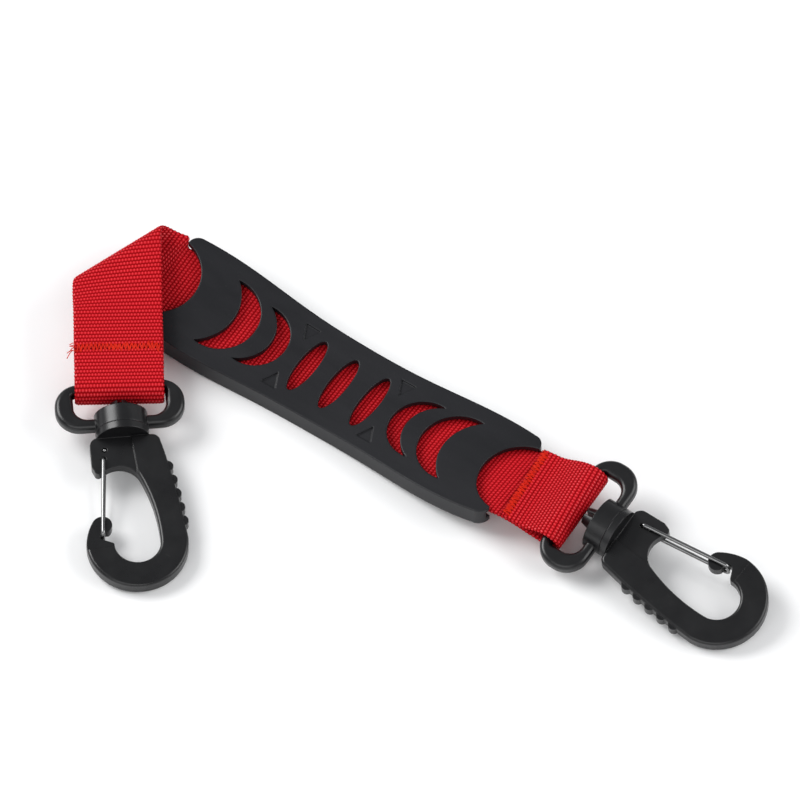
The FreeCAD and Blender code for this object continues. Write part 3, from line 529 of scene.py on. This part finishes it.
def webbing_material():
    """Red polyester: glossy warp floats with a painted highlight on their crests, painted shade between the
    yarns, and fibres along each float.
    """
    m = Nodes("webbing")
    uv = m.add("UVMap", uv_map="weave").outputs[0]
    apart = m.add("SeparateXYZ", {0: uv})
    breadth = m.math("MULTIPLY", apart.outputs[0], UV_UNIT)
    distance = m.math("MULTIPLY", apart.outputs[1], UV_UNIT)
    column = m.math("DIVIDE", m.math("ADD", breadth, WIDTH / 2), YARN)
    crown = m.math("ABSOLUTE", m.math("SINE", m.math("MULTIPLY", column, math.pi)))
    line = m.math("DIVIDE", distance, PICK)
    ridge = m.math("ABSOLUTE", m.math("COSINE", m.math("MULTIPLY", line, math.pi)))
    count = m.math("ADD", m.math("ROUND", line), m.math("FLOOR", column))
    over = m.math("MODULO", m.math("ADD", count, 1000.0), 2.0)
    rise = m.math("MULTIPLY", ridge, m.math("MULTIPLY_ADD", m.math("MULTIPLY", crown, over), 0.62, 0.38))
    wide = m.noise(m.place(), 60.0, 4.0, 0.6)
    stretched = m.add("CombineXYZ", {0: m.math("MULTIPLY", breadth, 9.0),
                                     1: m.math("MULTIPLY", distance, 0.8), 2: 0.0})
    fibre = m.noise(stretched.outputs[0], 1.6, 3.0, 0.7)
    painted_groove_shade, mid, light = (0.20, 0.001, 0.002, 1), (0.58, 0.011, 0.018, 1), (0.86, 0.042, 0.058, 1)
    # Painted shade: the deep red darkens the grooves where the relief is low.
    base = m.mix(m.ramp(rise, 0.1, 0.5), painted_groove_shade, mid)
    # Painted highlight: the light red is laid on the crests of the floats, broken up by the fibres.
    painted_highlight_share = m.math("MULTIPLY", m.ramp(rise, 0.55, 1.0), m.ramp(fibre, 0.3, 0.75, 0.35, 1.0))
    base = m.mix(painted_highlight_share, base, light)
    base = m.mix(m.ramp(wide, 0.35, 0.7, 0.0, 0.16), base, (0.36, 0.004, 0.012, 1))
    height = m.math("MULTIPLY_ADD", fibre, 0.25, rise)
    m.set(Base_Color=base, Roughness=m.ramp(rise, 0.0, 1.0, 0.70, 0.34),
          Normal=m.bump(height, 0.00012, 0.55),
          Specular_IOR_Level=m.ramp(rise, 0.45, 0.95, 0.03, 0.45))
    return m.material


def thread_material():
    """Orange-red thread with the bands of its twist."""
    m = Nodes("thread")
    place = m.place()
    bands = {"Vector": place, "Scale": 900.0, "Distortion": 2.0}
    twist = m.add("TexWave", bands, bands_direction="DIAGONAL").outputs[1]
    tone = m.mix(m.noise(place, 500.0), (0.42, 0.001, 0.001, 1), (0.74, 0.024, 0.003, 1))
    m.set(Base_Color=tone, Roughness=0.5, Normal=m.bump(twist, 0.00006, 0.5),
          Specular_IOR_Level=0.15)
    return m.material


def grip_material():
    """Satin black moulding with a fine grain, faint flow marks and a little dust."""
    m = Nodes("grip_rubber")
    place = m.place()
    grain = m.noise(place, 2600.0, 2.0)
    flow = m.noise(m.add("Mapping", {0: place, 3: (0.35, 1.4, 1.0)}).outputs[0], 70.0, 5.0, 0.6)
    dust = m.ramp(m.noise(place, 900.0, 6.0, 0.8), 0.60, 0.75)
    base = m.mix(m.ramp(flow, 0.3, 0.7), (0.0046, 0.0048, 0.0066, 1), (0.0070, 0.0072, 0.0096, 1))
    base = m.mix(m.math("MULTIPLY", dust, 0.12), base, (0.10, 0.095, 0.09, 1))
    rough = m.ramp(flow, 0.25, 0.75, 0.36, 0.48)
    soft = m.add("Bevel", {"Radius": 0.0006}, samples=8).outputs[0]
    m.set(Base_Color=base, Roughness=rough, Normal=m.bump(grain, 0.00003, 0.5, soft),
          Specular_IOR_Level=0.36)
    return m.material


def hook_material(name, origin, flat_axis):
    """Semi-gloss black moulding: softened edges, a faint joint line round the middle and rub marks."""
    m = Nodes(name)
    place = m.place()
    soft = m.add("Bevel", {"Radius": 0.00035}, samples=6).outputs[0]
    offset = m.add("VectorMath", {0: place, 1: Vector(origin) * MM}, operation="SUBTRACT").outputs[0]
    level = m.add("VectorMath", {0: offset, 1: Vector(flat_axis)}, operation="DOT_PRODUCT").outputs["Value"]
    line = m.ramp(m.math("ABSOLUTE", level), 0.00004, 0.00011, 1.0, 0.0)
    cloud = m.noise(place, 130.0, 5.0, 0.6)
    grain = m.noise(place, 3000.0, 2.0)
    rub = m.noise(m.add("Mapping", {0: place, 3: (0.6, 4.0, 1.0)}).outputs[0], 420.0, 6.0, 0.75)
    marks = m.math("MULTIPLY", m.ramp(rub, 0.62, 0.74), m.ramp(cloud, 0.5, 0.66))
    base = m.mix(m.ramp(cloud, 0.3, 0.7), (0.0028, 0.0028, 0.0034, 1), (0.0045, 0.0045, 0.0052, 1))
    base = m.mix(m.math("MULTIPLY", marks, 0.35), base, (0.12, 0.12, 0.12, 1))
    rough = m.math("MULTIPLY_ADD", marks, 0.2, m.ramp(cloud, 0.25, 0.75, 0.24, 0.36))
    height = m.math("MULTIPLY_ADD", line, 1.4, m.math("MULTIPLY", grain, 0.35))
    m.set(Base_Color=base, Roughness=rough, Normal=m.bump(height, 0.00005, 0.5, soft),
          Specular_IOR_Level=0.5)
    return m.material


def wire_material():
    """Bright drawn steel wire with fine lines along it."""
    m = Nodes("spring_wire")
    place = m.place()
    drawn = m.noise(m.add("Mapping", {0: place, 3: (1.0, 0.2, 1.0)}).outputs[0], 1500.0, 4.0, 0.6)
    m.set(Base_Color=(0.24, 0.24, 0.24, 1), Metallic=1.0, Roughness=m.ramp(drawn, 0.3, 0.7, 0.12, 0.24),
          Normal=m.bump(drawn, 0.00002, 0.3))
    return m.material


def paint(item, material):
    """Gives the piece its only material."""
    item.data.materials.clear()
    item.data.materials.append(material)
    return item


# ---------------------------------------------------------------- webbing and its stitching
def right_places(level, low, high):
    """Distances along one layer at the right: its stitching, then the neck's grip end and ring end."""
    return [STRAP.distance_near(right_middle(level, x)[0], low, high)
            for x in (RIGHT_STITCH_X, RIGHT_HINGE_X - NECK_HALF, RIGHT_HINGE_X + NECK_HALF)]


def build_webbing():
    """The webbing as pieces that ride on the bodies they cross, or lie fixed between them.

    Gives the distances along the webbing at which the four layers are stitched. A place is searched
    between two distances, where its own layer lies.
    """
    total = STRAP.length
    left_place = LEG_TOUCH - LEG_ALONG * LEFT_STITCH
    left_top = STRAP.distance_near(left_place, 40, 110)
    left_under = STRAP.distance_near(left_place - LEG_UP * LAYER, 0, 20)
    lower_stitch, lower_grip, lower_ring = right_places(lower_level, total - 90, total - 20)
    upper_stitch, upper_grip, upper_ring = right_places(upper_level, total - 25, total)
    centres = [left_top, left_under, lower_stitch, upper_stitch]
    count = int(total / PICK * ROWS_PER_PICK)
    lines = np.arange(count + 1) * (PICK / ROWS_PER_PICK)
    skin, coords = strap_skin(lines, centres)
    normals = skin_normals(skin)

    def row(s):
        return int(round(s / (PICK / ROWS_PER_PICK)))

    near, far, _ = FOLD.section(BEND / 2)
    bend_middle = STRAP.distance_near(near * 0.5 + far * 0.5, 70, 150)
    leg_reach, run_reach = 12.5, 10.5
    low_fold = row(bend_middle - BEND / 2 - leg_reach)
    high_fold = row(bend_middle + BEND / 2 + run_reach)
    low_neck, low_loop, high_loop, high_neck = map(row, (lower_grip, lower_ring, upper_ring, upper_grip))
    pieces = {
        "webbing_leg": [(0, low_fold)],
        "webbing_fold": [(low_fold, high_fold)],
        "webbing_run": [(high_fold, low_neck)],
        "webbing_neck": [(low_neck, low_loop), (high_loop, high_neck)],
        "webbing_loop": [(low_loop, high_loop)],
        "webbing_tab": [(high_neck, count)],
    }
    made = {name: paint(strap_piece(name, spans, skin, coords, normals), WEB)
            for name, spans in pieces.items()}
    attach(made["webbing_leg"], "left_leg")
    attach(made["webbing_run"], "strap")
    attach(made["webbing_loop"], "right_loop")
    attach(made["webbing_tab"], "strap")
    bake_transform(made["webbing_fold"])
    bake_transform(made["webbing_neck"])
    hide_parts("strap_leg")
    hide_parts("strap_fold")
    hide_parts("strap_run")
    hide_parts("strap_neck")
    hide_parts("strap_loop")
    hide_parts("strap_tab")
    return centres


def stitch_row(centre):
    """One pass of the zigzag across the webbing, lying on its show face."""
    corners, half_row, swing = 42, 11.9, 1.25
    stray_across, stray_along = 0.16, 0.32
    in_hole, on_face, arch = 0.36, 0.52, 0.18
    t = np.linspace(-half_row, half_row, corners) + RNG.normal(0, stray_across, corners)
    reach = np.where(np.arange(corners) % 2, swing, -swing) + RNG.normal(0, stray_along, corners)
    line, lift = [], []
    for k in range(corners - 1):
        for share in (0.0, 0.2, 0.5, 0.8):
            line.append((centre + reach[k] * (1 - share) + reach[k + 1] * share,
                         t[k] * (1 - share) + t[k + 1] * share))
            lift.append(on_face + arch * math.sin(math.pi * share) ** 0.5 if share else in_hole)
    line = np.array(line)
    points, normals = STRAP.at(line[:, 0], line[:, 1])
    return points + normals * np.array(lift)[:, None]


def loose_ends(centre, count):
    """Short frayed ends of thread that curl out over the near edge."""
    near_edge, points_each = -12.2, 12
    strands = []
    for _ in range(count):
        start, drift = centre + RNG.uniform(-1.5, 1.5), RNG.uniform(-2.2, 2.2)
        curl = RNG.uniform(0.2, 0.9)
        out = np.linspace(0, RNG.uniform(1.4, 3.0), points_each)
        points, normals = STRAP.at(start + drift * (out / 2) ** 2, near_edge)
        (near, far), _ = STRAP.at([start, start], [-12.0, 12.0])
        points = points - unit(far - near) * out[:, None]
        strands.append(points + normals * (0.4 + curl * np.sin(out * 1.3))[:, None])
    return strands


def stitching(name, outer, inner, body, node, frayed=0):
    """Dense zigzag on the outer layer's show face, its rows on the layer below and any loose ends."""
    paths = [stitch_row(centre) for centre, passes in ((outer, 4), (inner, 2)) for _ in range(passes)]
    thread_radius = 0.13
    item = paint(tube(name, paths + loose_ends(outer, frayed), thread_radius), THREAD)
    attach(item, body)
    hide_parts(node)


# ---------------------------------------------------------------- hooks and rings
def bent_wire(points, radius):
    """Middle line of a bent wire: an arc at every inner corner, and even steps along its legs."""
    arc_points, step = 9, 1.5
    route = [points[0]]
    for before, corner, after in zip(points, points[1:], points[2:]):
        back, ahead = unit(before - corner), unit(after - corner)
        half = math.acos(np.clip(back @ ahead, -1, 1)) / 2
        centre = corner + unit(back + ahead) * radius / math.sin(half)
        enter = corner + back * radius / math.tan(half)
        leave = corner + ahead * radius / math.tan(half)
        for share in np.linspace(0, 1, arc_points):
            spoke = unit((enter - centre) * (1 - share) + (leave - centre) * share)
            route.append(centre + spoke * radius)
    route.append(points[-1])
    dense = [route[0]]
    for a, b in zip(route, route[1:]):
        steps = max(1, int(np.linalg.norm(b - a) / step))
        dense += [a + (b - a) * n / steps for n in range(1, steps + 1)]
    return dense


def gate_wire(side, origin, flat, along, up):
    """Bent wire gate: its ends stay in the hook's two holes and its legs spring just past them.

    Places are across and along the hook from its origin, and legs lie above and below its middle.
    """
    leg, reach, wire_radius, corner_radius = 2.5, 1.3, 0.58, 1.1
    low_hole, high_hole, tip = (-6.1, 4.8), (-5.6, 1.9), (-8.3, 29.7)
    route = [(*low_hole, reach), (*low_hole, -leg), (*tip, -leg),
             (*tip, leg), (*high_hole, leg), (*high_hole, -reach)]
    line = bent_wire([origin + flat * x + along * y + up * z for x, y, z in route], corner_radius)
    wire = tube(f"wire_{side}", [line], wire_radius, sides=16, domed=True)
    item = paint(wire, WIRE)
    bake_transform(item)
    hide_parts(f"gate_{side}")


def build_hook(side, bar, turn, slope, roll, hand):
    """Paints one ring and hook and makes the wire gate; hand says on which side the gate lies."""
    along = heading(turn, slope)
    level = np.cross(UP, heading(turn))
    flat = rolled(level, np.cross(along, level), roll)[0] * hand
    up = np.cross(flat, along)
    plastic = hook_material(f"moulded_plastic_{side}", bar, up)
    for kind in ("ring", "hook"):
        paint(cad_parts[f"{kind}_{side}"], plastic)
    gate_wire(side, bar + along * BAR_TO_HOOK, flat, along, up)


# ---------------------------------------------------------------- studio
LIGHT_AIM = (0.02, 0, 0)


def soft_light(name, place, size, power):
    """Rectangular light that shines at the part."""
    light = bpy.data.lights.new(name, "AREA")
    light.shape, light.size, light.size_y = "RECTANGLE", *size
    light.energy = power
    item = added(name, light)
    item.location = place
    item.rotation_euler = (Vector(LIGHT_AIM) - Vector(place)).to_track_quat("-Z", "Y").to_euler()


def build_studio():
    """Pale floor, pale surroundings and three soft lights."""
    bpy.ops.mesh.primitive_plane_add(size=8, location=(0, 0, -0.0002))
    floor = bpy.context.object
    floor.name = "floor"
    m = Nodes("floor")
    m.set(Base_Color=(0.90, 0.90, 0.90, 1), Roughness=0.85, Specular_IOR_Level=0.1)
    floor.data.materials.append(m.material)
    world = bpy.data.worlds.new("studio")
    bpy.context.scene.world = world
    world.use_nodes = True
    sky = world.node_tree.nodes["Background"]
    sky.inputs["Color"].default_value = (0.95, 0.97, 1.0, 1)
    sky.inputs["Strength"].default_value = 0.36
    soft_light("key", (-1.05, -0.25, 1.0), (0.9, 0.9), 18)
    soft_light("fill", (1.05, 0.6, 0.8), (1.2, 1.0), 12)
    soft_light("front", (0.4, -1.1, 0.9), (1.4, 1.0), 7)
    bpy.context.scene.view_settings.view_transform = "Standard"


def build_camera():
    """Long lens that looks at the part from its front right and above."""
    turn, rise = math.radians(35.3), math.radians(54.6)
    distance, seen, sensor = 6.0, 0.2286, 36
    target = Vector((0.0176, 0.0056, 0.0073))
    back = Vector((math.sin(turn) * math.cos(rise), -math.cos(turn) * math.cos(rise), math.sin(rise)))
    camera = bpy.data.cameras.new("camera")
    camera.sensor_width = sensor
    camera.lens = sensor * distance / seen
    item = added("camera", camera)
    item.location = target + back * distance
    item.rotation_euler = back.to_track_quat("Z", "Y").to_euler()
    bpy.context.scene.camera = item


# ---------------------------------------------------------------- the scene
WEB, THREAD, GRIP, WIRE = webbing_material(), thread_material(), grip_material(), wire_material()
LEFT_TOP, LEFT_UNDER, RIGHT_LOWER, RIGHT_UPPER = build_webbing()
stitching("thread_left", LEFT_TOP, LEFT_UNDER, "left_leg", "stitching_left", frayed=6)
stitching("thread_right", RIGHT_UPPER, RIGHT_LOWER, "strap", "stitching_right")
paint(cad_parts["grip_sleeve"], GRIP)
LEFT_RING = LEFT_BAR - LEG_SIDE * RING_SHIFT - LEG_FORWARD * RING_BACK
build_hook("left", LEFT_RING, LEFT_HEADING, LEFT_SLOPE, 0.0, 1)
build_hook("right", RIGHT_BAR, RIGHT_HEADING, RIGHT_SLOPE, RIGHT_ROLL, -1)
build_studio()
build_camera()
